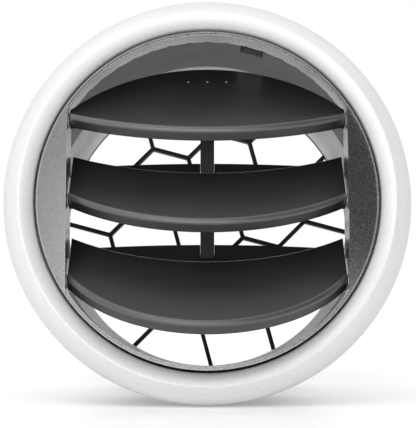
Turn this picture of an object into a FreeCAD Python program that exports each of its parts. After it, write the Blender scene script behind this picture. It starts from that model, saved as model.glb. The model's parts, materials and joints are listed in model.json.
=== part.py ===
import FreeCAD, Part
import math
import os
import Sketcher

# Round dashboard air vent: a bezel ring on a barrel housing, a turning insert with three
# coupled louvre blades, and a honeycomb guard in the duct adapter.
# Frame: X right, Y back into the dashboard, Z up. The origin is the centre of the bezel's
# seat on the dashboard skin, and the blades look out along -Y.

# Driving dimensions in millimetres and degrees
SIZES = {
    "bezel_outer_radius": 48.0,
    "bezel_inner_radius": 40.7,
    "bezel_crest_radius": 43.9,
    "bezel_crest_depth": 8.0,
    "bezel_lip_depth": 5.2,
    "bezel_edge_depth": 2.2,
    "bezel_wall": 1.7,
    "bezel_skirt_end": 1.5,
    "bezel_seat_width": 2.0,
    "bezel_bead_front": 4.3,
    "bezel_bead_rear": 2.9,
    "bezel_lip_bend": 4.2,
    "bezel_crown_bend": 7.2,
    "bezel_inside_bend": 5.5,
    "cup_inner_radius": 43.0,
    "cup_wall": 1.4,
    "cup_front": 4.5,
    "cup_floor": 2.0,
    "barrel_front_radius": 39.6,
    "barrel_rear_radius": 39.0,
    "barrel_wall": 1.7,
    "barrel_end": 25.0,
    "assembly_gap": 0.2,
    "sleeve_gap": 0.1,
    "funnel_radius": 37.0,
    "funnel_end": 38.5,
    "adapter_sleeve_start": 18.5,
    "adapter_wall": 1.6,
    "spigot_outer_radius": 38.9,
    "seal_seat_radius": 40.6,
    "seal_seat_start": 31.5,
    "spigot_end": 52.0,
    "guard_front": 46.0,
    "guard_thickness": 2.0,
    "guard_seat_radius": 37.9,
    "guard_cell_edge": 9.85,
    "guard_strut_width": 1.05,
    "guard_keep_radius": 33.0,
    "guard_turn": 45.0,
    "rotor_inner_radius": 39.2,
    "rotor_outer_radius": 40.1,
    "rotor_front": 5.0,
    "rotor_rear": 1.6,
    "rotor_flange_radius": 42.75,
    "rotor_flange_front": 1.2,
    "rotor_flange_rear": 0.2,
    "rotor_flange_fillet": 0.4,
    "rotor_weld": 0.1,
    "rotor_groove_inner": 39.45,
    "rotor_groove_outer": 39.7,
    "rotor_groove_depth": 0.7,
    "rotor_hub_radius": 41.0,
    "detent_width": 1.6,
    "detent_depth": 0.45,
    "side_wall_inner": 32.9,
    "side_wall": 1.7,
    "side_wall_rear": 4.8,
    "cheek_thickness": 1.6,
    "cheek_dome_radius": 130.0,
    "cheek_rim_radius": 39.9,
    "cheek_bulge": 3.0,
    "boss_rise": 0.8,
    "glide_front": 0.5,
    "glide_inner_radius": 41.3,
    "glide_outer_radius": 42.85,
    "blade_pitch": 19.2,
    "blade_tilt": 44.0,
    "blade_half_length": 32.5,
    "blade_dome_radius": 400.0,
    "blade_skin": 1.8,
    "blade_lip_depth": 3.3,
    "blade_lip_width": 1.5,
    "blade_land_drop": 3.5,
    "blade_land": 1.5,
    "blade_end_rib": 1.5,
    "pivot_depth": 1.9,
    "pivot_below_face": 2.3,
    "pivot_above_lip": 1.5,
    "pin_radius": 1.1,
    "hub_radius": 2.1,
    "pin_length": 1.5,
    "bush_inner_radius": 1.2,
    "bush_outer_radius": 1.65,
    "bush_length": 1.45,
    "bush_proud": 0.15,
    "boss_radius": 2.2,
    "link_pin_up": 10.8,
    "link_pin_back": 2.0,
    "link_pin_radius": 0.9,
    "link_hole_radius": 1.0,
    "link_width": 3.1,
    "link_depth": 3.8,
    "link_slot": 3.4,
    "ear_thickness": 1.4,
    "ear_height": 3.6,
    "ear_front": 2.4,
    "ear_rear": 3.6,
    "land_ear_front": 0.5,
    "upper_notch_start": 5.0,
    "middle_notch_start": 3.5,
    "lower_notch_start": 8.4,
    "notch_height": 14.0,
    "notch_front": 0.6,
    "notch_depth": 12.0,
    "link_pin_grip": 0.6,
    "upper_lip_sag": 7.5,
    "middle_lip_sag": 11.2,
    "lower_lip_sag": 17.3,
    "middle_ridge_up": 14.5,
    "middle_ridge_sag": 8.5,
    "lower_ridge_up": 13.4,
    "lower_ridge_sag": 10.5,
    "upper_rear_up": 2.0,
    "upper_rear_rise": 14.8,
    "upper_corner_trim": 1.0,
    "pip_up": 10.9,
    "pip_spacing": 4.6,
    "pip_radius": 0.28,
    "pip_height": 0.15,
    "seal_start": 33.0,
    "seal_end": 38.0,
    "seal_outer_radius": 43.0,
    "clip_width": 8.0,
    "clip_sheet": 0.5,
    "clip_start": 1.5,
    "clip_heel": 0.85,
    "clip_crown_rise": 1.8,
    "clip_crown_fall": 0.1,
    "clip_nose_rise": 1.2,
    "lug_angle": 45.0,
    "lug_width": 9.0,
    "lug_front": 3.0,
    "lug_rear": 14.0,
    "lug_outer_radius": 42.6,
    "rib_width": 1.2,
    "rib_rear": 18.0,
    "window_angle": 16.0,
    "window_width": 5.6,
    "window_reach": 42.0,
    "window_front": 1.9,
    "window_rear": 8.6,
    "spring_width": 4.4,
    "spring_lap": 6.0,
    "spring_ramp": 4.4,
    "spring_dip": 1.1,
    "spring_nose_dip": 1.4,
    "spring_nose_gap": 0.25,
}

LUG_COUNT = 4
DETENT_COUNT = 54
GUARD_CELLS = 3
PRISM_DEPTH = 30.0
HOLE_MARGIN = 2.0
ALMOST_TWICE = 1.999
PLANE_OF = {"XY": "XY_Plane", "XZ": "XZ_Plane", "YZ": "YZ_Plane"}

doc = FreeCAD.newDocument("air_vent")
sheet = doc.addObject("Spreadsheet::Sheet", "Dims")
nodes = []


# Sizes that keep their value and their formula together
class Dim:
    def __init__(self, value, text):
        self.value = value
        self.text = text

    def __add__(self, other):
        other = as_dim(other)
        return Dim(self.value + other.value, f"({self.text} + {other.text})")

    def __sub__(self, other):
        other = as_dim(other)
        return Dim(self.value - other.value, f"({self.text} - {other.text})")

    def __mul__(self, other):
        other = as_dim(other)
        return Dim(self.value * other.value, f"({self.text} * {other.text})")

    def __truediv__(self, other):
        other = as_dim(other)
        return Dim(self.value / other.value, f"({self.text} / {other.text})")

    def __neg__(self):
        return Dim(-self.value, f"(-1 * {self.text})")


def as_dim(size):
    if isinstance(size, Dim):
        return size
    return Dim(float(size), repr(float(size)))


def fill_sheet():
    dims = {}
    for row, (alias, value) in enumerate(SIZES.items(), start=1):
        sheet.set(f"A{row}", alias)
        sheet.set(f"B{row}", str(value))
        sheet.setAlias(f"B{row}", alias)
        dims[alias] = Dim(value, f"Dims.{alias}")
    doc.recompute()
    return dims


d = fill_sheet()


def bind(item, prop, size):
    size = as_dim(size)
    setattr(item, prop, size.value)
    item.setExpression(prop, size.text)


def node(item, label):
    item.Label = label
    nodes.append(item)
    return item


# Sketches, with every corner held by signed distances from the origin
def sketch_on(body, name, plane, offset=None, turn=None):
    sketch = body.newObject("Sketcher::SketchObject", name)
    support = next(f for f in body.Origin.OriginFeatures if f.Role == PLANE_OF[plane])
    sketch.AttachmentSupport = (support, [""])
    sketch.MapMode = "FlatFace"
    if offset is not None or turn is not None:
        lift = as_dim(offset or 0)
        sketch.AttachmentOffset = FreeCAD.Placement(
            FreeCAD.Vector(0, 0, lift.value), turn or FreeCAD.Rotation())
        sketch.setExpression("AttachmentOffset.Base.z", lift.text)
    return sketch


def arc_between(start, end, radius):
    # A positive radius bulges to the right of the way from start to end.
    chord = end - start
    half = chord.Length / 2
    rise = math.sqrt(max(radius * radius - half * half, 0.0))
    side = FreeCAD.Vector(-chord.y, chord.x, 0).normalize()
    way = 1 if radius > 0 else -1
    centre = (start + end) / 2 + side * rise * way
    first, last = (start, end) if way > 0 else (end, start)
    begin = math.atan2(first.y - centre.y, first.x - centre.x)
    finish = math.atan2(last.y - centre.y, last.x - centre.x)
    circle = Part.Circle(centre, FreeCAD.Vector(0, 0, 1), abs(radius))
    return Part.ArcOfCircle(circle, begin, finish), way


def draw_loop(sketch, corners, bends=None):
    # corners are (x, y) sizes; bends maps a corner's number to the radius of the arc after it
    bends = bends or {}
    corners = [(as_dim(x), as_dim(y)) for x, y in corners]
    points = [FreeCAD.Vector(x.value, y.value, 0) for x, y in corners]
    ends = []
    for i, start in enumerate(points):
        end = points[(i + 1) % len(points)]
        if i in bends:
            arc, way = arc_between(start, end, as_dim(bends[i]).value)
            edge = sketch.addGeometry(arc, False)
            ends.append((edge, 1, 2) if way > 0 else (edge, 2, 1))
        else:
            edge = sketch.addGeometry(Part.LineSegment(start, end), False)
            ends.append((edge, 1, 2))
    for i, (edge, first, last) in enumerate(ends):
        after = ends[(i + 1) % len(ends)]
        sketch.addConstraint(Sketcher.Constraint("Coincident", edge, last, after[0], after[1]))
    for i, (edge, first, last) in enumerate(ends):
        for axis, size in zip("XY", corners[i]):
            place = sketch.addConstraint(
                Sketcher.Constraint(f"Distance{axis}", -1, 1, edge, first, size.value))
            sketch.setExpression(f"Constraints[{place}]", size.text)
        if i in bends:
            radius = as_dim(bends[i])
            radius = radius if radius.value > 0 else -radius
            span = (points[(i + 1) % len(points)] - points[i]).Length
            if span > radius.value * ALMOST_TWICE:
                continue
            place = sketch.addConstraint(Sketcher.Constraint("Radius", edge, radius.value))
            sketch.setExpression(f"Constraints[{place}]", radius.text)
    return sketch


def new_body(label):
    body = doc.addObject("PartDesign::Body", label)
    return node(body, label)


def revolve_y(body, name, corners, bends=None):
    sketch = draw_loop(sketch_on(body, name + "_profile", "XY"), corners, bends)
    turn = body.newObject("PartDesign::Revolution", name)
    turn.Profile = sketch
    turn.ReferenceAxis = (sketch, ["V_Axis"])
    turn.Angle = 360
    return turn


def pad(body, name, sketch, length, midplane=False, reverse=False):
    item = body.newObject("PartDesign::Pad", name)
    return set_run(item, sketch, length, midplane, reverse)


def pocket(body, name, sketch, length, midplane=False, reverse=False):
    item = body.newObject("PartDesign::Pocket", name)
    return set_run(item, sketch, length, midplane, reverse)


def set_run(item, sketch, length, midplane, reverse):
    item.Profile = sketch
    bind(item, "Length", length)
    item.Midplane = midplane
    item.Reversed = reverse
    return item


def ring_pattern(body, name, feature, count):
    # Repeats a feature evenly round the Y axis
    item = body.newObject("PartDesign::PolarPattern", name)
    item.Originals = [feature]
    axis = next(f for f in body.Origin.OriginFeatures if f.Role == "Y_Axis")
    item.Axis = (axis, [""])
    item.Angle = 360
    item.Occurrences = count
    body.Tip = item


# Simple solids
AXIS_TURN = {
    "X": FreeCAD.Rotation(FreeCAD.Vector(0, 1, 0), 90),
    "Y": FreeCAD.Rotation(FreeCAD.Vector(1, 0, 0), -90),
    "Z": FreeCAD.Rotation(),
}


def rod(name, radius, length, axis, base):
    item = doc.addObject("Part::Cylinder", name)
    bind(item, "Radius", radius)
    bind(item, "Height", length)
    return put(item, base, AXIS_TURN[axis])


def block(name, size, base):
    item = doc.addObject("Part::Box", name)
    for prop, value in zip(("Length", "Width", "Height"), size):
        bind(item, prop, value)
    return put(item, base, FreeCAD.Rotation())


def put(item, base, turn):
    base = [as_dim(value) for value in base]
    item.Placement = FreeCAD.Placement(FreeCAD.Vector(*(b.value for b in base)), turn)
    for letter, value in zip("xyz", base):
        item.setExpression(f"Placement.Base.{letter}", value.text)
    return item


def cut(name, base, tool):
    item = doc.addObject("Part::Cut", name)
    item.Base = base
    item.Tool = tool
    return item


def common(name, *shapes):
    item = doc.addObject("Part::MultiCommon", name)
    item.Shapes = list(shapes)
    return item


def fuse(name, shapes):
    item = doc.addObject("Part::MultiFuse", name)
    item.Shapes = list(shapes)
    item.Refine = True
    return item


def tube(label, inner, outer, start, length):
    wall = rod(label + "_outside", outer, length, "Y", (0, start, 0))
    hole = rod(label + "_inside", inner, length, "Y", (0, start, 0))
    return node(cut(label, wall, hole), label)


# Bezel ring: a convex painted shell whose skirt grips the cup by a bead and traps the insert
def make_bezel():
    body = new_body("bezel_ring")
    inner = d["bezel_inner_radius"]
    outer = d["bezel_outer_radius"]
    wall = d["bezel_wall"]
    crest = d["bezel_crest_radius"]
    seat = outer - d["bezel_seat_width"]
    bead = d["cup_inner_radius"]
    ramp = bead - inner - wall
    corners = [
        (inner, -d["bezel_skirt_end"]),
        (inner, -d["bezel_lip_depth"]),
        (crest, -d["bezel_crest_depth"]),
        (outer, -d["bezel_edge_depth"]),
        (outer, 0),
        (seat, 0),
        (seat, -d["bezel_edge_depth"]),
        (crest, wall - d["bezel_crest_depth"]),
        (inner + wall, -d["bezel_lip_depth"]),
        (inner + wall, -d["bezel_bead_front"] - ramp / 2),
        (bead, -d["bezel_bead_front"]),
        (bead, -d["bezel_bead_rear"]),
        (inner + wall, ramp - d["bezel_bead_rear"]),
        (inner + wall, -d["bezel_skirt_end"]),
    ]
    bends = {1: d["bezel_lip_bend"], 2: d["bezel_crown_bend"], 6: -d["bezel_inside_bend"]}
    revolve_y(body, "bezel_shell", corners, bends)


# Housing: cup for the insert's flange, then the barrel, with ribs, and lugs for the panel clips
def make_housing():
    body = new_body("housing_barrel")
    cup = d["cup_inner_radius"]
    front = d["barrel_front_radius"]
    rear = d["barrel_rear_radius"]
    floor = d["cup_floor"]
    corners = [
        (cup, -d["cup_front"]),
        (cup + d["cup_wall"], -d["cup_front"]),
        (cup + d["cup_wall"], floor + d["cup_wall"]),
        (front + d["barrel_wall"], floor + d["cup_wall"] * 2),
        (rear + d["barrel_wall"], d["barrel_end"]),
        (rear, d["barrel_end"]),
        (front, floor),
        (cup, floor),
    ]
    revolve_y(body, "barrel_wall", corners)
    make_ribs(body, "lug", d["lug_width"], d["lug_rear"], d["lug_angle"].value)
    make_ribs(body, "rib", d["rib_width"], d["rib_rear"], 0)
    make_window(body)


def make_ribs(body, name, width, rear, angle):
    # Bars along the barrel's outside, evenly spaced from the given angle
    half = width / 2
    foot = d["barrel_rear_radius"] + d["barrel_wall"] / 2
    top = d["lug_outer_radius"]
    turn = FreeCAD.Rotation(FreeCAD.Vector(0, 0, 1), angle)
    sketch = sketch_on(body, f"{name}_plan", "XZ", -d["lug_front"], turn)
    draw_loop(sketch, [(-half, foot), (half, foot), (half, top), (-half, top)])
    bar = pad(body, name, sketch, rear - d["lug_front"], reverse=True)
    ring_pattern(body, f"{name}_ring", bar, LUG_COUNT)


def make_window(body):
    # The opening in the barrel through which the brake spring reaches the insert
    half = d["window_width"] / 2
    turn = FreeCAD.Rotation(FreeCAD.Vector(0, 1, 0), d["window_angle"].value)
    sketch = sketch_on(body, "window_plan", "XY", 0, turn)
    draw_loop(sketch, [
        (-half, d["window_front"]),
        (half, d["window_front"]),
        (half, d["window_rear"]),
        (-half, d["window_rear"]),
    ])
    opening = pocket(body, "spring_window", sketch, d["window_reach"], reverse=True)
    body.Tip = opening


# Duct adapter: pale funnel and spigot, which sleeves over the barrel
def make_adapter():
    body = new_body("duct_adapter")
    sleeve = d["barrel_front_radius"] + d["barrel_wall"] + d["sleeve_gap"]
    wall = d["adapter_wall"]
    spigot = d["spigot_outer_radius"]
    gap = d["assembly_gap"]
    corners = [
        (sleeve, d["adapter_sleeve_start"]),
        (sleeve + wall, d["adapter_sleeve_start"]),
        (sleeve + wall, d["barrel_end"] + wall),
        (d["seal_seat_radius"], d["seal_seat_start"]),
        (d["seal_seat_radius"], d["seal_end"]),
        (spigot, d["seal_end"]),
        (spigot, d["spigot_end"]),
        (d["guard_seat_radius"], d["spigot_end"]),
        (d["guard_seat_radius"], d["guard_front"]),
        (d["funnel_radius"], d["guard_front"]),
        (d["funnel_radius"], d["funnel_end"]),
        (d["barrel_rear_radius"], d["barrel_end"] + gap),
        (sleeve, d["barrel_end"] + gap),
    ]
    revolve_y(body, "adapter_wall", corners)


# Guard: a honeycomb whose outermost struts run straight to the rim
def honeycomb_struts():
    edge = d["guard_cell_edge"].value
    keep = d["guard_keep_radius"].value
    reach = d["guard_seat_radius"].value
    turn = math.radians(d["guard_turn"].value)
    pitch = edge * math.sqrt(3)
    corners = {}
    struts = {}
    cells = range(-GUARD_CELLS, GUARD_CELLS + 1)
    for i in cells:
        for j in cells:
            centre = FreeCAD.Vector(pitch * (i + j / 2), pitch * j * math.sqrt(3) / 2, 0)
            cell = []
            for k in range(6):
                angle = math.radians(30 + 60 * k)
                spot = centre + FreeCAD.Vector(math.cos(angle), math.sin(angle), 0) * edge
                key = (round(spot.x, 3) + 0.0, round(spot.y, 3) + 0.0)
                corners[key] = spot
                cell.append(key)
            for a, b in zip(cell, cell[1:] + cell[:1]):
                struts[tuple(sorted((a, b)))] = (corners[a], corners[b])
    spin = FreeCAD.Rotation(FreeCAD.Vector(0, 0, 1), math.degrees(turn) - 30)
    kept = []
    for first, last in struts.values():
        inside = [p.Length <= keep for p in (first, last)]
        if not any(inside):
            continue
        if not all(inside):
            root, tip = (first, last) if inside[0] else (last, first)
            tip = root + (tip - root).normalize() * reach
            first, last = root, tip
        kept.append((spin.multVec(first), spin.multVec(last)))
    return kept


def make_guard():
    half = d["guard_strut_width"] / 2
    thick = d["guard_thickness"]
    front = d["guard_front"]
    bars = []
    for number, (first, last) in enumerate(honeycomb_struts()):
        run = last - first
        angle = math.degrees(math.atan2(run.y, run.x))
        bar = doc.addObject("Part::Box", f"guard_strut_{number}")
        bar.Length = run.Length
        bind(bar, "Width", thick)
        bind(bar, "Height", half * 2)
        tilt = FreeCAD.Rotation(FreeCAD.Vector(0, 1, 0), -angle)
        base = FreeCAD.Vector(first.x, front.value, first.y)
        down = tilt.multVec(FreeCAD.Vector(0, 0, -half.value))
        bar.Placement = FreeCAD.Placement(base + down, tilt)
        bars.append(bar)
    web = fuse("guard_web", bars)
    weld = (d["funnel_radius"] + d["guard_seat_radius"]) / 2
    disc = rod("guard_disc", weld, thick, "Y", (0, front, 0))
    inside = common("guard_web_round", web, disc)
    rim_out = rod("guard_rim_out", d["guard_seat_radius"], thick, "Y", (0, front, 0))
    rim_in = rod("guard_rim_in", d["funnel_radius"], thick, "Y", (0, front, 0))
    rim = cut("guard_rim", rim_out, rim_in)
    node(fuse("guard_mesh", [inside, rim]), "guard_mesh")


# Turning insert: ring with trapped flange, flat side walls and cheeks that share a ball's dome
def make_rotor():
    inner = d["side_wall_inner"]
    wall = d["side_wall"]
    front = d["rotor_front"] + d["cheek_bulge"]
    reach = d["rotor_inner_radius"] + d["rotor_weld"]
    depth = front + d["side_wall_rear"]
    bore = rod("insert_round", reach, depth, "Y", (0, -front, 0))
    face_round = rod("cheek_round", d["rotor_groove_outer"], front, "Y", (0, -front, 0))
    dome = cheek_ball("dome_front", 0)
    shell = cut("cheek_shell", dome, cheek_ball("dome_back", d["cheek_thickness"]))
    pieces = [make_hoop()]
    holes = []
    for side, sign in (("left", -1), ("right", 1)):
        plate = block(f"{side}_wall_plate", (wall, depth, reach * 2),
                      (side_start(sign, inner, wall), -front, -reach))
        width = d["rotor_outer_radius"] - inner
        segment = block(f"{side}_cheek_plate", (width, front, reach * 2),
                        (side_start(sign, inner, width), -front, -reach))
        pieces.append(common(f"{side}_wall_round", bore, plate, dome))
        pieces.append(common(f"{side}_cheek", face_round, segment, shell))
        for row, up in pivot_rows():
            length = wall + d["boss_rise"]
            boss = rod(f"{side}_{row}_boss", d["boss_radius"], length, "X",
                       (side_start(sign, inner, length), -d["pivot_depth"], up))
            pieces.append(common(f"{side}_{row}_boss_round", bore, boss))
            holes.append(bush_rod(f"{side}_{row}_hole", d["bush_outer_radius"], sign, up))
    solid = fuse("rotor_solid", pieces)
    node(cut("rotor_ring", solid, fuse("pivot_holes", holes)), "rotor_ring")


def side_start(sign, inner, length):
    # Where a piece of the given length starts that runs outwards from the inner face
    return inner if sign > 0 else -inner - length


def make_hoop():
    ring_in = d["rotor_inner_radius"]
    ring_out = d["rotor_outer_radius"]
    flange = d["rotor_flange_radius"]
    front = d["rotor_front"]
    body = doc.addObject("PartDesign::Body", "rotor_hoop")
    corners = [
        (ring_in, -front),
        (d["rotor_groove_inner"], -front),
        (d["rotor_groove_inner"], d["rotor_groove_depth"] - front),
        (d["rotor_groove_outer"], d["rotor_groove_depth"] - front),
        (d["rotor_groove_outer"], -front),
        (ring_out, -front),
        (ring_out, -d["rotor_flange_front"] - d["rotor_flange_fillet"]),
        (ring_out + d["rotor_flange_fillet"], -d["rotor_flange_front"]),
        (flange, -d["rotor_flange_front"]),
        (flange, d["rotor_flange_rear"]),
        (d["rotor_hub_radius"], d["rotor_flange_rear"]),
        (d["rotor_hub_radius"], d["rotor_rear"]),
        (ring_in, d["rotor_rear"]),
    ]
    revolve_y(body, "hoop_wall", corners)
    make_detents(body)
    return body


def make_detents(body):
    # Shallow notches round the hoop's rear edge, on which the brake spring bears
    half = d["detent_width"] / 2
    inner = d["rotor_inner_radius"] - 1
    outer = d["rotor_hub_radius"] + 1
    sketch = sketch_on(body, "detent_plan", "XZ", -d["rotor_rear"])
    draw_loop(sketch, [(-half, inner), (half, inner), (half, outer), (-half, outer)])
    notch = pocket(body, "detent", sketch, d["detent_depth"], reverse=True)
    ring_pattern(body, "detent_ring", notch, DETENT_COUNT)


def cheek_ball(name, depth):
    # The ball whose front meets the ring's front edge at the cheeks' rim
    radius = d["cheek_dome_radius"].value
    rim = d["cheek_rim_radius"].value
    centre = math.sqrt(radius * radius - rim * rim) - d["rotor_front"].value
    ball = doc.addObject("Part::Sphere", name)
    bind(ball, "Radius", d["cheek_dome_radius"] - depth)
    ball.Placement = FreeCAD.Placement(FreeCAD.Vector(0, centre, 0), FreeCAD.Rotation())
    return ball


def bush_rod(name, radius, sign, up):
    inner = d["side_wall_inner"] - d["bush_proud"]
    length = d["bush_length"]
    return rod(name, radius, length, "X", (side_start(sign, inner, length), -d["pivot_depth"], up))


def pivot_rows():
    pitch = d["blade_pitch"]
    return (("upper", pitch), ("middle", as_dim(0)), ("lower", -pitch))


# Blades, drawn shut: a domed skin with a deep lip, a step and a recessed land behind it
def crown_sag():
    half = d["blade_half_length"]
    return half * half / (d["blade_dome_radius"] * 2)


def crown_rod(name, depth):
    radius = d["blade_dome_radius"]
    face = -d["pivot_depth"] - d["pivot_below_face"] - crown_sag()
    length = d["bezel_outer_radius"] * 2
    return rod(name, radius - depth, length, "Z", (0, face + radius, -length / 2))


def plan_prism(label, corners, bends):
    body = doc.addObject("PartDesign::Body", label)
    sketch = draw_loop(sketch_on(body, label + "_plan", "XZ"), corners, bends)
    pad(body, label + "_prism", sketch, PRISM_DEPTH, midplane=True)
    return body


def arc_radius(half, sag):
    return (half * half + sag * sag) / (sag * 2)


def band(label, low, low_sag, high, high_sag, shell, trim=None):
    # The part of a shell between two edges across the blade. A positive sag hangs down in the
    # middle, a negative one rises, and None is a straight edge. trim cuts the upper corners off.
    half = d["blade_half_length"]
    corners = [(-half, low), (half, low)]
    top = half
    if trim is not None:
        top = half - trim
        corners.append((half, high - trim))
    rear = len(corners)
    corners += [(top, high), (-top, high)]
    if trim is not None:
        corners.append((-half, high - trim))
    bends = {}
    if low_sag is not None:
        bends[0] = arc_radius(half, low_sag)
    if high_sag is not None:
        bends[rear] = -arc_radius(top, high_sag)
    prism = plan_prism(label, corners, bends)
    return common(label + "_band", prism, shell)


def lip_band(row, up, lip_sag, shell):
    low = up - d["pivot_above_lip"]
    return band(f"{row}_lip", low, lip_sag, low + d["blade_lip_width"], lip_sag, shell)


def plain_blade(row, up, lip_sag, shells):
    # The blade whose skin ends in an arched edge with a straight-footed rib under it
    skin, deep_lip = shells[:2]
    low = up - d["pivot_above_lip"]
    high = up + d["upper_rear_up"]
    rise = -d["upper_rear_rise"]
    trim = d["upper_corner_trim"]
    rib = high - d["blade_lip_width"]
    return [
        band(f"{row}_skin", low, lip_sag, high, rise, skin, trim),
        band(f"{row}_rear_rib", rib, None, high, rise, deep_lip, trim),
        lip_band(row, up, lip_sag, deep_lip),
    ] + face_pips(up)


def stepped_blade(row, up, lip_sag, ridge_up, ridge_sag, shells):
    # The blade whose skin steps down along a sagging ridge to a land with a straight rear edge
    skin, deep_lip, deep_step, land = shells
    low = up - d["pivot_above_lip"]
    high = up + ridge_up
    foot = high - d["blade_lip_width"]
    return [
        band(f"{row}_skin", low, lip_sag, high, ridge_sag, skin),
        band(f"{row}_step", foot, ridge_sag, high, ridge_sag, deep_step),
        band(f"{row}_land", foot, ridge_sag, high, None, land),
        lip_band(row, up, lip_sag, deep_lip),
    ]


def make_blades():
    skin_drop = d["blade_skin"]
    lip_drop = d["blade_lip_depth"]
    land_drop = d["blade_land_drop"]
    land_back = land_drop + d["blade_land"]
    face = crown_rod("dome_face", as_dim(0))
    shells = (
        cut("shell_skin", face, crown_rod("dome_skin", skin_drop)),
        cut("shell_lip", face, crown_rod("dome_lip", lip_drop)),
        cut("shell_step", face, crown_rod("dome_step", land_back)),
        cut("shell_land", crown_rod("dome_land", land_drop), crown_rod("dome_land_back", land_back)),
    )
    pitch = d["blade_pitch"]
    middle = as_dim(0)
    skins = {
        "upper": (pitch, plain_blade("upper", pitch, d["upper_lip_sag"], shells)),
        "middle": (middle, stepped_blade("middle", middle, d["middle_lip_sag"],
                                         d["middle_ridge_up"], d["middle_ridge_sag"], shells)),
        "lower": (-pitch, stepped_blade("lower", -pitch, d["lower_lip_sag"],
                                        d["lower_ridge_up"], d["lower_ridge_sag"], shells)),
    }
    for row, (up, pieces) in skins.items():
        raw = fuse(f"{row}_raw", pieces + end_fittings(row, up))
        blade = cut(f"{row}_slotted", raw, link_slot(row, up))
        whole = fuse(f"{row}_blade", [blade, link_pin(row, up)])
        node(whole, f"{row}_blade")
        tilt_down(whole, up)


def end_fittings(row, up):
    half = d["blade_half_length"]
    rib = d["blade_end_rib"]
    depth = -d["pivot_depth"]
    fittings = []
    for side, sign in (("left", -1), ("right", 1)):
        inner = half - rib
        fittings.append(rod(f"{row}_{side}_hub", d["hub_radius"], rib, "X",
                            (side_start(sign, inner, rib), depth, up)))
        length = rib + d["pin_length"]
        fittings.append(rod(f"{row}_{side}_pin", d["pin_radius"], length, "X",
                            (side_start(sign, inner, length), depth, up)))
        fittings.append(link_ear(row, side, sign, up))
    return fittings


def link_ear(row, side, sign, up):
    # One of the two ears that hold the link pin, standing on the skin or on the recessed land
    front = -d["ear_front"] if row == "upper" else d["land_ear_front"]
    ear = d["ear_thickness"]
    height = d["ear_height"]
    start = side_start(sign, d["link_slot"] / 2, ear)
    base = (start, front - d["pivot_depth"], up + d["link_pin_up"] - height / 2)
    return block(f"{row}_{side}_ear", (ear, d["ear_rear"] - front, height), base)


def face_pips(up):
    # Three small round marks in a row on the upper blade's face, over the link pin
    height = d["pip_height"]
    face = -d["pivot_depth"] - d["pivot_below_face"] - crown_sag()
    pips = []
    for number in (-1, 0, 1):
        base = (d["pip_spacing"] * number, face - height, up + d["pip_up"])
        pips.append(rod(f"pip_{number + 2}", d["pip_radius"], height * 2, "Y", base))
    return pips


def link_slot(row, up):
    slot = d["link_slot"]
    base = (-slot / 2, -d["pivot_depth"] - d["notch_front"], up + d[f"{row}_notch_start"])
    return block(f"{row}_slot", (slot, d["notch_depth"], d["notch_height"]), base)


def link_pin(row, up):
    reach = d["link_slot"] / 2 + d["link_pin_grip"]
    return rod(f"{row}_link_pin", d["link_pin_radius"], reach * 2, "X",
               (-reach, d["link_pin_back"] - d["pivot_depth"], up + d["link_pin_up"]))


def tilt_down(item, up):
    # Turn the shut blade about its own pivot line to the pose of the photograph
    turn = FreeCAD.Rotation(FreeCAD.Vector(1, 0, 0), -d["blade_tilt"].value)
    pivot = FreeCAD.Vector(0, -d["pivot_depth"].value, up.value)
    item.Placement = FreeCAD.Placement(pivot - turn.multVec(pivot), turn)


# Link bar that couples the blades
def link_offset():
    tilt = math.radians(d["blade_tilt"].value)
    up = d["link_pin_up"].value
    back = d["link_pin_back"].value
    return (up * math.sin(tilt) + back * math.cos(tilt),
            up * math.cos(tilt) - back * math.sin(tilt))


def make_link():
    body = new_body("link_bar")
    pitch = d["blade_pitch"]
    radius = d["link_depth"] / 2
    sketch = sketch_on(body, "bar_side", "YZ")
    draw_loop(sketch, [(radius, -pitch), (radius, pitch), (-radius, pitch), (-radius, -pitch)],
              {1: radius, 3: radius})
    pad(body, "bar", sketch, d["link_width"], midplane=True)
    doc.recompute()
    for row, up in pivot_rows():
        hole = sketch_on(body, f"{row}_hole_circle", "YZ")
        hole.addGeometry(Part.Circle(FreeCAD.Vector(0, up.value, 0), FreeCAD.Vector(0, 0, 1),
                                     d["link_hole_radius"].value), False)
        place = hole.addConstraint(Sketcher.Constraint("Radius", 0, d["link_hole_radius"].value))
        hole.setExpression(f"Constraints[{place}]", d["link_hole_radius"].text)
        place = hole.addConstraint(Sketcher.Constraint("DistanceY", -1, 1, 0, 3, up.value))
        hole.setExpression(f"Constraints[{place}]", up.text)
        length = d["link_width"] + HOLE_MARGIN
        body.Tip = pocket(body, f"{row}_hole", hole, length, midplane=True)
    back, rise = link_offset()
    body.Placement = FreeCAD.Placement(
        FreeCAD.Vector(0, back - d["pivot_depth"].value, rise), FreeCAD.Rotation())


# Small parts
def make_bushes():
    for row, up in pivot_rows():
        for side, sign in (("left", -1), ("right", 1)):
            label = f"{row}_{side}_bush"
            wall = bush_rod(label + "_outside", d["bush_outer_radius"], sign, up)
            hole = bush_rod(label + "_inside", d["bush_inner_radius"], sign, up)
            node(cut(label, wall, hole), label)


def strip_body(label, points, width):
    body = new_body(label)
    sketch = sketch_on(body, label + "_side", "YZ")
    draw_loop(sketch, points)
    pad(body, label + "_strip", sketch, width, midplane=True)
    return body


def thicken(route, sheet_thickness):
    # Both faces of a bent strip, from the points of its lower face
    upper = []
    for i, (y, z) in enumerate(route):
        before = route[max(i - 1, 0)]
        after = route[min(i + 1, len(route) - 1)]
        run = FreeCAD.Vector(after[0] - before[0], after[1] - before[1], 0).normalize()
        upper.append((y - run.y * sheet_thickness, z + run.x * sheet_thickness))
    return list(route) + upper[::-1]


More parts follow.
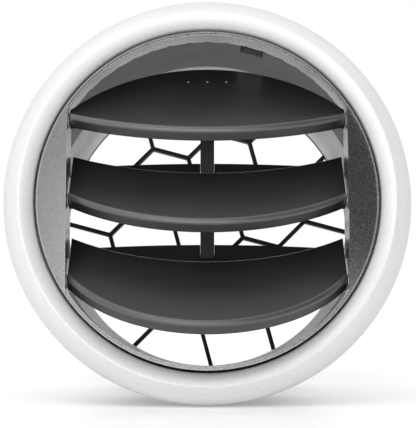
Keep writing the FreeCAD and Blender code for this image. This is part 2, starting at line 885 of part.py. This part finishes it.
def make_clips():
    # A hairpin of strip on each lug, whose bowed leg presses outwards on the dashboard's collar
    top = d["lug_outer_radius"].value
    start = d["lug_front"].value + d["clip_start"].value
    heel = d["lug_rear"].value
    bend = d["clip_heel"].value
    crown = top + d["clip_crown_rise"].value
    route = [
        (start, top),
        (heel, top),
        (heel + bend, top + bend),
        (heel, crown - d["clip_crown_fall"].value),
        ((start + heel) / 2, crown),
        (start + bend, top + d["clip_nose_rise"].value),
    ]
    profile = thicken(route, d["clip_sheet"].value)
    for number in range(LUG_COUNT):
        body = strip_body(f"retaining_clip_{number + 1}", profile, d["clip_width"])
        angle = 360 / LUG_COUNT * number + d["lug_angle"].value
        turn = FreeCAD.Rotation(FreeCAD.Vector(0, 1, 0), angle)
        body.Placement = FreeCAD.Placement(FreeCAD.Vector(), turn)


def make_brake_spring():
    # A leaf that lies on the barrel, dips through its window and bears on the insert's rear edge
    top = d["barrel_front_radius"].value + d["barrel_wall"].value
    nose = d["rotor_rear"].value + d["spring_nose_gap"].value
    rear = d["window_rear"].value
    dip = rear - d["spring_ramp"].value
    route = [
        (nose, top - d["spring_nose_dip"].value),
        (dip, top - d["spring_dip"].value),
        (rear, top),
        (rear + d["spring_lap"].value, top),
    ]
    profile = thicken(route, d["clip_sheet"].value)
    body = strip_body("brake_spring", profile, d["spring_width"])
    turn = FreeCAD.Rotation(FreeCAD.Vector(0, 1, 0), d["window_angle"].value)
    body.Placement = FreeCAD.Placement(FreeCAD.Vector(), turn)


def main():
    make_bezel()
    make_housing()
    make_adapter()
    make_guard()
    make_rotor()
    make_bushes()
    make_blades()
    make_link()
    tube("glide_ring", d["glide_inner_radius"], d["glide_outer_radius"], d["glide_front"],
         d["cup_floor"] - d["glide_front"])
    tube("duct_seal", d["seal_seat_radius"], d["seal_outer_radius"], d["seal_start"],
         d["seal_end"] - d["seal_start"])
    make_clips()
    make_brake_spring()
    doc.recompute()
    check_and_write()


def check_and_write():
    for item in doc.Objects:
        if "Invalid" in item.State or "Error" in item.State:
            raise RuntimeError(f"{item.Label} failed: {item.State}")
    for item in nodes:
        if item.Shape.isNull() or not item.Shape.isValid():
            raise RuntimeError(f"{item.Label} has no valid shape")
    os.makedirs("parts", exist_ok=True)
    for item in nodes:
        item.Shape.exportStep(f"parts/{item.Label}.step")
        print(item.Label, round(item.Shape.Volume, 1), len(item.Shape.Solids))


main()
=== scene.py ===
import json
import math

import bmesh
import bpy
from mathutils import Matrix, Vector
from mathutils.kdtree import KDTree


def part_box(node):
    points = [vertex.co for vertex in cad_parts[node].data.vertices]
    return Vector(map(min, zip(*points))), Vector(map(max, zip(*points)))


# Looks of a round dashboard air vent, in metres. X is right, Y goes back into the
# dashboard and Z is up. The vent stands on its bezel and leans back on its foam ring, so
# the floor is a plane that rises towards +Y in the vent's own frame.

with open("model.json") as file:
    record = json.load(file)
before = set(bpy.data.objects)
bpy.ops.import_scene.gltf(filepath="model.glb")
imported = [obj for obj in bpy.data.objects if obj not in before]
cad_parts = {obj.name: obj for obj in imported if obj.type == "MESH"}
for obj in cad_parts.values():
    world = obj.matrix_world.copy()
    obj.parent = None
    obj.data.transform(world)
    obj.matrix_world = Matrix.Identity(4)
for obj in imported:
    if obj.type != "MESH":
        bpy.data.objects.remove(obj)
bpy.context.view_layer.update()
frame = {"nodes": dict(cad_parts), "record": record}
nodes = frame["nodes"]

MM = 0.001
WHITE = (1.0, 1.0, 1.0, 1.0)

# Surfaces: texture scales are per metre, and noise keeps mostly within NOISE_RANGE
NOISE_RANGE = (0.3, 0.7)
FULL_RANGE = (0.0, 1.0)
NOISE_ROUGHNESS = 0.6
FINE_DETAIL = 3.0
SOFT_DETAIL = 2.0
CLOUD_SCALE = 60.0
GRAIN_STRENGTH = 0.35
ROUGHNESS_SPREAD = 0.04
WEAR_AND_HIGHLIGHT_REACH = 0.35 * MM
WEAR_AND_HIGHLIGHT_SAMPLES = 4
WEAR_AND_HIGHLIGHT_DOT = 0.8
SCATTER_DEPTH = 4.0 * MM
SCATTER_COLOURS = (1.0, 1.0, 1.0)

# Metallic plastic, foam and rolled steel
FLAKE_SCALE = 4200.0
FLAKE_SHADE = 0.1
FLAKE_WEAR = 0.35
FLAKE_WEAR_REACH = 0.3 * MM
FLAKE_ROUGHNESS_SPREAD = 0.06
FLAKE_STRENGTH = 0.08
FLAKE_DEPTH = 0.01 * MM
FOAM_SCALE = 1800.0
FOAM_REACH = (0.0, 0.7)
FOAM_SHADE = (0.6, 1.3)
FOAM_STRENGTH = 0.8
FOAM_DEPTH = 0.3 * MM
STEEL_SCALE = 900.0
STEEL_STRETCH = (1.0, 12.0, 1.0)
STEEL_SHADE = (0.85, 1.1)
STEEL_ROUGHNESS = (0.35, 0.55)
STEEL_STRENGTH = 0.2
STEEL_DEPTH = 0.02 * MM

# Rounded edges of the CAD nodes, which keep their own vertices
WELD_REACH = 0.002 * MM
SHARP_ANGLE = math.radians(38)
LARGE_FACE_WEIGHT = 100
EDGE_SEGMENTS = 3
EDGE_RADIUS = {
    "bezel_ring": 0.25 * MM,
    "rotor_ring": 0.22 * MM,
    "link_bar": 0.06 * MM,
    "guard_mesh": 0.18 * MM,
    "housing_barrel": 0.2 * MM,
    "duct_adapter": 0.2 * MM,
}
LINK_WIDENING = 1.07

# Louvre blades: their tilt at rest, where their edges lie, and how much of a surface's
# unit normal points forwards, backwards, up or down
BLADES = ("upper_blade", "middle_blade", "lower_blade")
BLADE_TILT = math.radians(44)
BLADE_NORMAL = Vector((0, -math.cos(BLADE_TILT), math.sin(BLADE_TILT)))
PIVOT_Y = -1.9 * MM
SLOT_HALF_WIDTH = 1.75 * MM
RIDGE_DEPTH = 2.2 * MM
PIP_RISE = 0.12 * MM
PIP_SEGMENT = 0.25 * MM
FACING = 0.3
LIP_FACING = 0.2

# Louvre blades: their rounds
NOSE_RADIUS = 2.0 * MM
NOSE_SEGMENTS = 6
RIDGE_RADIUS = 0.18 * MM
BLADE_EDGE_RADIUS = 0.15 * MM
BLADE_EDGE_SEGMENTS = 2

# Floor: it passes just under the bezel's rim and the foam ring
RIM_Y = 0.0
FLOOR_GAP = 0.02 * MM
FLOOR_HALF_WIDTH = 0.9
FLOOR_FRONT = -0.5
FLOOR_REAR = 1.2
FLOOR_GREY = 0.95
FLOOR_ROUGHNESS = 0.35
FLOOR_GLOW = 0.27

# Surroundings: brightness of the white world, softboxes with their places and sizes in
# metres and their power in watts, and a dark card
WORLD_LIGHT = 0.74
WORLD_MIRRORED = 0.9
LIGHTS_AIM = Vector((0, 0, 0))
SOFTBOXES = {
    "front_softbox": {"place": (-0.35, -0.9, 0.0), "size": (0.7, 0.6), "power": 0.9},
    "key_softbox": {"place": (-0.15, -0.4, 0.45), "size": (0.4, 0.15), "power": 0.55},
    "low_softbox": {"place": (-0.1, -0.8, -0.16), "size": (0.7, 0.12), "power": 2.6},
}
CARD_NEAR = (0.11, -0.45)
CARD_FAR = (0.75, -0.05)
CARD_HALF_HEIGHT = 0.6
CARD_GREY = 0.01
CARD_ROUGHNESS = 0.9

# Camera: in line with the photograph, looking up the vent's axis at a small angle. The
# focal length and the shifts are in pixels of a picture of this height, and the sensor's
# height is in millimetres.
CAMERA_PLACE = (0, -350.7 * MM, -54.75 * MM)
CAMERA_PITCH = math.radians(9)
PICTURE_HEIGHT = 428.0
FOCAL_LENGTH = 1498.0
SHIFT_RIGHT = 0.7
SHIFT_UP = -16.0
SENSOR_HEIGHT = 24.0
CLIP_START = 0.01


# Geometry read from the frame
def low(node):
    return Vector(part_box(node)[0])


def high(node):
    return Vector(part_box(node)[1])


# Shader helpers
def new_material(name):
    material = bpy.data.materials.new(name)
    material.use_nodes = True
    tree = material.node_tree
    shader = tree.nodes["Principled BSDF"]
    return material, tree, shader


def set_sockets(item, sockets):
    for key, value in sockets.items():
        item.inputs[key].default_value = value


def add_node(tree, kind, settings=None, sockets=None):
    item = tree.nodes.new(kind)
    for key, value in (settings or {}).items():
        setattr(item, key, value)
    set_sockets(item, sockets or {})
    return item


def object_coords(tree):
    return add_node(tree, "ShaderNodeTexCoord").outputs["Object"]


def noise(tree, coords, scale, detail):
    item = add_node(tree, "ShaderNodeTexNoise", sockets={
        "Scale": scale, "Detail": detail, "Roughness": NOISE_ROUGHNESS})
    tree.links.new(coords, item.inputs["Vector"])
    return item.outputs["Fac"]


def cell_pattern(tree, coords, scale):
    item = add_node(tree, "ShaderNodeTexVoronoi", sockets={"Scale": scale})
    tree.links.new(coords, item.inputs["Vector"])
    return item


def around(middle, spread):
    return middle - spread, middle + spread


def remap(tree, value, source, target):
    """Move a value from one range, a pair of numbers, to another."""
    item = add_node(tree, "ShaderNodeMapRange", sockets={
        "From Min": source[0], "From Max": source[1], "To Min": target[0],
        "To Max": target[1]})
    tree.links.new(value, item.inputs["Value"])
    return item.outputs["Result"]


def math_node(tree, operation, first, second):
    item = add_node(tree, "ShaderNodeMath", {"operation": operation})
    for socket, value in zip(item.inputs, (first, second)):
        tree.links.new(value, socket)
    return item.outputs[0]


def edge_wear_and_highlight(tree, reach, wear_and_highlight):
    """1 on flat ground, and lighter by the given share near a sharp edge: edge wear, and on
    the soft black blades also a painted highlight.
    """
    bevel = add_node(tree, "ShaderNodeBevel", {"samples": WEAR_AND_HIGHLIGHT_SAMPLES}, {"Radius": reach})
    geometry = add_node(tree, "ShaderNodeNewGeometry")
    dot = add_node(tree, "ShaderNodeVectorMath", {"operation": "DOT_PRODUCT"})
    tree.links.new(bevel.outputs["Normal"], dot.inputs[0])
    tree.links.new(geometry.outputs["Normal"], dot.inputs[1])
    return remap(tree, dot.outputs["Value"], (WEAR_AND_HIGHLIGHT_DOT, 1.0), (1.0 + wear_and_highlight, 1.0))


def tint(tree, shader, colour, amounts):
    """Base colour multiplied by a grey value."""
    rgb = add_node(tree, "ShaderNodeRGB")
    rgb.outputs[0].default_value = (*colour, 1.0)
    scale = add_node(tree, "ShaderNodeVectorMath", {"operation": "SCALE"})
    tree.links.new(rgb.outputs[0], scale.inputs[0])
    tree.links.new(amounts, scale.inputs["Scale"])
    tree.links.new(scale.outputs["Vector"], shader.inputs["Base Color"])


def vary_roughness(tree, shader, pattern, source, target):
    rough = remap(tree, pattern, source, target)
    tree.links.new(rough, shader.inputs["Roughness"])


def bump(tree, shader, height, strength, distance):
    item = add_node(tree, "ShaderNodeBump", sockets={
        "Strength": strength, "Distance": distance})
    tree.links.new(height, item.inputs["Height"])
    tree.links.new(item.outputs["Normal"], shader.inputs["Normal"])


# Finishes
def moulded(name, colour, roughness=0.5, grain_scale=2600.0, grain_depth=0.03 * MM,
            metallic=0.0, mottling=0.06, wear_and_highlight=0.25, speckle=0.0, specular=0.5,
            translucence=0.0):
    """A moulded or painted surface: grain, mottling, uneven gloss and lighter edges, which
    are rubbed edges and on the soft black blades also a painted highlight.
    """
    material, tree, shader = new_material(name)
    coords = object_coords(tree)
    grain = noise(tree, coords, grain_scale, FINE_DETAIL)
    cloud = noise(tree, coords, CLOUD_SCALE, SOFT_DETAIL)
    worn_and_highlit = edge_wear_and_highlight(tree, WEAR_AND_HIGHLIGHT_REACH, wear_and_highlight)
    shade = remap(tree, cloud, NOISE_RANGE, around(1.0, mottling))
    speck = remap(tree, grain, NOISE_RANGE, around(1.0, speckle))
    shade = math_node(tree, "MULTIPLY", speck, shade)
    tint(tree, shader, colour, math_node(tree, "MULTIPLY", worn_and_highlit, shade))
    vary_roughness(tree, shader, cloud, NOISE_RANGE, around(roughness, ROUGHNESS_SPREAD))
    set_sockets(shader, {
        "Metallic": metallic,
        "Specular IOR Level": specular,
        "Subsurface Weight": translucence,
        "Subsurface Radius": SCATTER_COLOURS,
        "Subsurface Scale": SCATTER_DEPTH,
    })
    bump(tree, shader, grain, GRAIN_STRENGTH, grain_depth)
    return material


def metal_flake(name, colour, roughness, metallic):
    """Metallic plastic: fine flakes of uneven brightness and gloss, and rubbed edges."""
    material, tree, shader = new_material(name)
    flakes = cell_pattern(tree, object_coords(tree), FLAKE_SCALE)
    split = add_node(tree, "ShaderNodeSeparateColor")
    tree.links.new(flakes.outputs["Color"], split.inputs["Color"])
    flake = split.outputs[0]
    worn_and_highlit = edge_wear_and_highlight(tree, FLAKE_WEAR_REACH, FLAKE_WEAR)
    shade = remap(tree, flake, FULL_RANGE, around(1.0, FLAKE_SHADE))
    tint(tree, shader, colour, math_node(tree, "MULTIPLY", worn_and_highlit, shade))
    spread = around(roughness, FLAKE_ROUGHNESS_SPREAD)
    vary_roughness(tree, shader, flake, FULL_RANGE, spread)
    set_sockets(shader, {"Metallic": metallic})
    bump(tree, shader, flake, FLAKE_STRENGTH, FLAKE_DEPTH)
    return material


def foam(name, colour, roughness):
    """Foam with small closed cells that are darker in their middles."""
    material, tree, shader = new_material(name)
    cells = cell_pattern(tree, object_coords(tree), FOAM_SCALE).outputs["Distance"]
    tint(tree, shader, colour, remap(tree, cells, FOAM_REACH, FOAM_SHADE))
    set_sockets(shader, {"Roughness": roughness})
    bump(tree, shader, cells, FOAM_STRENGTH, FOAM_DEPTH)
    return material


def strip_steel(name, colour, metallic):
    """Rolled steel strip with fine lines across the vent's axis."""
    material, tree, shader = new_material(name)
    stretch = add_node(tree, "ShaderNodeMapping", sockets={"Scale": STEEL_STRETCH})
    tree.links.new(object_coords(tree), stretch.inputs["Vector"])
    lines = noise(tree, stretch.outputs["Vector"], STEEL_SCALE, SOFT_DETAIL)
    tint(tree, shader, colour, remap(tree, lines, NOISE_RANGE, STEEL_SHADE))
    vary_roughness(tree, shader, lines, NOISE_RANGE, STEEL_ROUGHNESS)
    set_sockets(shader, {"Metallic": metallic})
    bump(tree, shader, lines, STEEL_STRENGTH, STEEL_DEPTH)
    return material


def make_finishes():
    """Finishes by the record's material slots, and those painted on the blades: a painted
    highlight on the nose and the ridge, and pale pip tops.
    """
    return {
        "satin_silver_paint": moulded(
            "satin_silver", (0.83, 0.83, 0.835), roughness=0.45, grain_depth=0.05 * MM,
            metallic=0.15, mottling=0.012, wear_and_highlight=0.03, speckle=0.06),
        "graphite_plastic": moulded("graphite", (0.036, 0.036, 0.038)),
        "pale_grey_plastic": moulded(
            "pale_grey", (0.93, 0.93, 0.925), mottling=0.03, wear_and_highlight=0.0, translucence=0.9),
        "black_plastic": moulded("black", (0.01, 0.01, 0.01), specular=0.3),
        "metallic_grey_plastic": metal_flake(
            "flake_grey", (0.25, 0.25, 0.255), roughness=0.3, metallic=0.9),
        # Soft black blades: their sharp edges are painted lighter, partly as wear and partly
        # as a painted highlight.
        "soft_black_plastic": moulded(
            "soft_black", (0.0105, 0.0105, 0.011), roughness=0.4, grain_scale=3000.0,
            grain_depth=0.012 * MM, wear_and_highlight=0.5, specular=1.0),
        # Painted highlight along the blades' round noses: a lighter black in place of the
        # light that the nose catches.
        "nose_highlight": moulded(
            "nose_highlight", (0.065, 0.065, 0.066), roughness=0.36, grain_scale=3000.0,
            grain_depth=0.012 * MM, specular=1.0),
        # Pale grey on the tops of the upper blade's pips.
        "pale_pip_top": moulded(
            "pale_pip_top", (0.3, 0.3, 0.3), roughness=0.4, grain_scale=3000.0,
            grain_depth=0.01 * MM, wear_and_highlight=0.0),
        # Painted highlight along the blades' ridges: a thin pale line in place of the
        # background mirrored in the ridge's edge.
        "ridge_highlight": moulded(
            "ridge_highlight", (0.9, 0.9, 0.9), roughness=0.3, grain_scale=4200.0,
            grain_depth=0.01 * MM, wear_and_highlight=0.0),
        "acetal": moulded(
            "acetal", (0.62, 0.62, 0.6), roughness=0.4, grain_scale=1800.0,
            grain_depth=0.02 * MM, mottling=0.02, wear_and_highlight=0.05),
        "foam": foam("closed_foam", (0.03, 0.03, 0.03), roughness=0.95),
        "spring_steel": strip_steel("strip_steel", (0.62, 0.62, 0.62), metallic=0.6),
    }


# Rounded edges
def add_weld(item):
    weld = item.modifiers.new("weld", "WELD")
    weld.merge_threshold = WELD_REACH


def add_bevel(item, name, radius, segments):
    bevel = item.modifiers.new(name, "BEVEL")
    bevel.width = radius
    bevel.segments = segments
    bevel.use_clamp_overlap = True
    return bevel


def add_normals(item):
    normals = item.modifiers.new("normals", "WEIGHTED_NORMAL")
    normals.keep_sharp = True
    normals.weight = LARGE_FACE_WEIGHT


def soften(item, radius):
    add_weld(item)
    bevel = add_bevel(item, "edges", radius, EDGE_SEGMENTS)
    bevel.limit_method = "ANGLE"
    bevel.angle_limit = SHARP_ANGLE
    add_normals(item)


def find_edges(item, wanted):
    """Numbers of the sharp edges that satisfy a rule on their ends and face normals."""
    welded = bmesh.new()
    welded.from_mesh(item.data)
    bmesh.ops.remove_doubles(welded, verts=welded.verts, dist=WELD_REACH)
    welded.verts.index_update()
    places = KDTree(len(welded.verts))
    for vert in welded.verts:
        places.insert(vert.co, vert.index)
    places.balance()
    chosen = set()
    for edge in welded.edges:
        if len(edge.link_faces) != 2:
            continue
        normals = [face.normal for face in edge.link_faces]
        ends = [vert.co for vert in edge.verts]
        if normals[0].angle(normals[1], 0.0) > SHARP_ANGLE and wanted(ends, normals):
            chosen.add(frozenset(vert.index for vert in edge.verts))
    merged = [places.find(vert.co)[1] for vert in item.data.vertices]
    welded.free()
    return [edge.index for edge in item.data.edges
            if frozenset(merged[index] for index in edge.vertices) in chosen]


# Louvre blades: surfaces are told apart by their normals, and edges by the surfaces
# beside them and by their place
def is_face(normal):
    return normal.y < -FACING and normal.z > FACING


def is_lip(normal):
    return normal.y < -FACING and normal.z < -LIP_FACING


def is_rear(normal):
    return normal.y > FACING and normal.z > FACING


def divides(normals, one, other):
    first, second = normals
    return (one(first) and other(second)) or (one(second) and other(first))


def is_nose_edge(ends, normals):
    return divides(normals, is_face, is_lip) and ends[0].y < PIVOT_Y


def is_slot_edge(ends, normals):
    return all(abs(end.x) < SLOT_HALF_WIDTH and end.y > PIVOT_Y for end in ends)


def blade_rules(crest, stepped):
    """Rules for a blade's edges. Stepped blades have a ridge, and the other one has pips."""
    def is_pip_edge(ends, normals):
        short = (ends[0] - ends[1]).length < PIP_SEGMENT
        return not stepped and short and ends[0].y > PIVOT_Y

    def is_ridge_edge(ends, normals):
        high_up = all(BLADE_NORMAL.dot(end) > crest - RIDGE_DEPTH for end in ends)
        return stepped and high_up and divides(normals, is_face, is_rear)

    def is_other_edge(ends, normals):
        named = (is_nose_edge, is_ridge_edge, is_slot_edge, is_pip_edge)
        return not any(rule(ends, normals) for rule in named)

    return is_pip_edge, is_ridge_edge, is_other_edge


def round_edges(item, name, rule, radius, segments, finish=None):
    """Round the edges that a rule names, and give the round a finish of its own."""
    weights = item.data.attributes.new(name, "FLOAT", "EDGE")
    for number in find_edges(item, rule):
        weights.data[number].value = 1.0
    bevel = add_bevel(item, name, radius, segments)
    bevel.harden_normals = True
    bevel.limit_method = "WEIGHT"
    bevel.edge_weight = name
    if finish:
        bevel.material = len(item.material_slots)
        item.data.materials.append(finish)


def paint_pips(item, crest, finish):
    item.data.materials.append(finish)
    for face in item.data.polygons:
        ends = [item.data.vertices[index].co for index in face.vertices]
        if all(BLADE_NORMAL.dot(end) > crest - PIP_RISE for end in ends):
            face.material_index = len(item.material_slots) - 1


def round_blade(item, finishes):
    """A round nose with a painted highlight along the front, a ridge with a painted
    highlight or pips with pale tops, and fine other edges.
    """
    crest = max(BLADE_NORMAL.dot(vert.co) for vert in item.data.vertices)
    stepped = item.name != "upper_blade"
    is_pip_edge, is_ridge_edge, is_other_edge = blade_rules(crest, stepped)
    # Slot and pip edges aren't rounded, and stay sharp in the shading
    for rule in (is_slot_edge, is_pip_edge):
        for number in find_edges(item, rule):
            item.data.edges[number].use_edge_sharp = True
    add_weld(item)
    # The ridge and the nose get finishes of their own, which are painted highlights.
    rounds = [("edge", is_other_edge, BLADE_EDGE_RADIUS, BLADE_EDGE_SEGMENTS),
              ("ridge", is_ridge_edge, RIDGE_RADIUS, BLADE_EDGE_SEGMENTS,
               finishes["ridge_highlight"]),
              ("nose", is_nose_edge, NOSE_RADIUS, NOSE_SEGMENTS, finishes["nose_highlight"])]
    # The nose is rounded last, which keeps the corners smooth. On the lower blade the fine
    # rounds would leave it no room, so there it comes first.
    if item.name == "lower_blade":
        rounds.reverse()
    for how in rounds:
        round_edges(item, *how)
    if not stepped:
        paint_pips(item, crest, finishes["pale_pip_top"])
    add_normals(item)


def widen(item, factor):
    """The link bar as its slots show it, wider across by the play that the solid keeps."""
    tree = bpy.data.node_groups.new("widen", "GeometryNodeTree")
    for way in ("INPUT", "OUTPUT"):
        tree.interface.new_socket("Geometry", in_out=way, socket_type="NodeSocketGeometry")
    source = add_node(tree, "NodeGroupInput")
    target = add_node(tree, "NodeGroupOutput")
    place = add_node(tree, "GeometryNodeInputPosition")
    scaled = add_node(tree, "ShaderNodeVectorMath", {"operation": "MULTIPLY"},
                      {1: (factor, 1.0, 1.0)})
    moved = add_node(tree, "GeometryNodeSetPosition")
    tree.links.new(place.outputs[0], scaled.inputs[0])
    tree.links.new(source.outputs[0], moved.inputs["Geometry"])
    tree.links.new(scaled.outputs[0], moved.inputs["Position"])
    tree.links.new(moved.outputs[0], target.inputs[0])
    wide = item.modifiers.new("wide", "NODES")
    wide.node_group = tree


def dress_nodes(finishes):
    slots = {part["node"]: part["material_slot"] for part in frame["record"]["subparts"]}
    for name, item in nodes.items():
        finish = finishes[slots[name]]
        if not item.material_slots:
            item.data.materials.append(finish)
        for slot in item.material_slots:
            slot.link = "OBJECT"
            slot.material = finish
        if name == "link_bar":
            widen(item, LINK_WIDENING)
        if name in EDGE_RADIUS:
            soften(item, EDGE_RADIUS[name])
        if name in BLADES:
            round_blade(item, finishes)


# Studio
def add_object(name, data):
    item = bpy.data.objects.new(name, data)
    bpy.context.collection.objects.link(item)
    return item


def make_quad(name, corners, material):
    mesh = bpy.data.meshes.new(name)
    mesh.from_pydata(corners, [], [(0, 1, 2, 3)])
    mesh.materials.append(material)
    return add_object(name, mesh)


def white_table():
    """White with a little glow for the camera and for reflections, and clear from below."""
    material, tree, shader = new_material("white_table")
    set_sockets(shader, {
        "Base Color": (FLOOR_GREY, FLOOR_GREY, FLOOR_GREY, 1.0),
        "Roughness": FLOOR_ROUGHNESS,
        "Emission Color": WHITE,
    })
    path = add_node(tree, "ShaderNodeLightPath")
    seen = math_node(tree, "MAXIMUM", path.outputs["Is Camera Ray"],
                     path.outputs["Is Glossy Ray"])
    glow = remap(tree, seen, FULL_RANGE, (0.0, FLOOR_GLOW))
    tree.links.new(glow, shader.inputs["Emission Strength"])
    geometry = add_node(tree, "ShaderNodeNewGeometry")
    clear = add_node(tree, "ShaderNodeBsdfTransparent")
    mix = add_node(tree, "ShaderNodeMixShader")
    output = tree.nodes["Material Output"]
    tree.links.new(geometry.outputs["Backfacing"], mix.inputs[0])
    tree.links.new(shader.outputs[0], mix.inputs[1])
    tree.links.new(clear.outputs[0], mix.inputs[2])
    tree.links.new(mix.outputs[0], output.inputs["Surface"])
    return material


def make_floor():
    rim_low = low("bezel_ring").z
    seal_low = low("duct_seal").z
    slope = (seal_low - rim_low) / (high("duct_seal").y - RIM_Y)
    places = ((-FLOOR_HALF_WIDTH, FLOOR_FRONT), (FLOOR_HALF_WIDTH, FLOOR_FRONT),
              (FLOOR_HALF_WIDTH, FLOOR_REAR), (-FLOOR_HALF_WIDTH, FLOOR_REAR))
    corners = [(x, y, rim_low + slope * y - FLOOR_GAP) for x, y in places]
    floor = make_quad("floor", corners, white_table())


def black_card():
    material, tree, shader = new_material("black_card")
    set_sockets(shader, {
        "Base Color": (CARD_GREY, CARD_GREY, CARD_GREY, 1.0),
        "Roughness": CARD_ROUGHNESS,
    })
    return material


def make_dark_card():
    """A card in front on the right that shows only in reflections, in the right cheek."""
    corners = [(*CARD_NEAR, -CARD_HALF_HEIGHT), (*CARD_FAR, -CARD_HALF_HEIGHT),
               (*CARD_FAR, CARD_HALF_HEIGHT), (*CARD_NEAR, CARD_HALF_HEIGHT)]
    card = make_quad("dark_card", corners, black_card())
    card.visible_camera = False
    card.visible_diffuse = False
    card.visible_shadow = False


def make_world():
    """White to the camera, a little darker in reflections, and softer as light."""
    world = bpy.data.worlds.new("studio")
    bpy.context.scene.world = world
    world.use_nodes = True
    tree = world.node_tree
    background = tree.nodes["Background"]
    set_sockets(background, {"Color": WHITE})
    path = add_node(tree, "ShaderNodeLightPath")
    seen = math_node(tree, "MAXIMUM", path.outputs["Is Camera Ray"],
                     path.outputs["Is Transmission Ray"])
    mirrored = remap(tree, path.outputs["Is Glossy Ray"], FULL_RANGE,
                     (WORLD_LIGHT, WORLD_MIRRORED))
    strength = math_node(tree, "MAXIMUM", seen, mirrored)
    tree.links.new(strength, background.inputs["Strength"])


def area_light(name, place, size, power):
    data = bpy.data.lights.new(name, "AREA")
    data.shape = "RECTANGLE"
    data.size, data.size_y = size
    data.energy = power
    item = add_object(name, data)
    turn = (LIGHTS_AIM - Vector(place)).to_track_quat("-Z", "Y")
    item.matrix_world = Matrix.Translation(place) @ turn.to_matrix().to_4x4()


def make_lights():
    for name, box in SOFTBOXES.items():
        area_light(name, box["place"], box["size"], box["power"])


def make_camera():
    data = bpy.data.cameras.new("camera")
    data.sensor_fit = "VERTICAL"
    data.sensor_height = SENSOR_HEIGHT
    data.lens = FOCAL_LENGTH / PICTURE_HEIGHT * SENSOR_HEIGHT
    data.shift_x = SHIFT_RIGHT / PICTURE_HEIGHT
    data.shift_y = SHIFT_UP / PICTURE_HEIGHT
    data.clip_start = CLIP_START
    item = add_object("camera", data)
    item.matrix_world = (Matrix.Translation(CAMERA_PLACE)
                         @ Matrix.Rotation(math.radians(90) + CAMERA_PITCH, 4, "X"))
    bpy.context.scene.camera = item


dress_nodes(make_finishes())
make_floor()
make_world()
make_lights()
make_dark_card()
make_camera()
bpy.context.scene.view_settings.view_transform = "Standard"
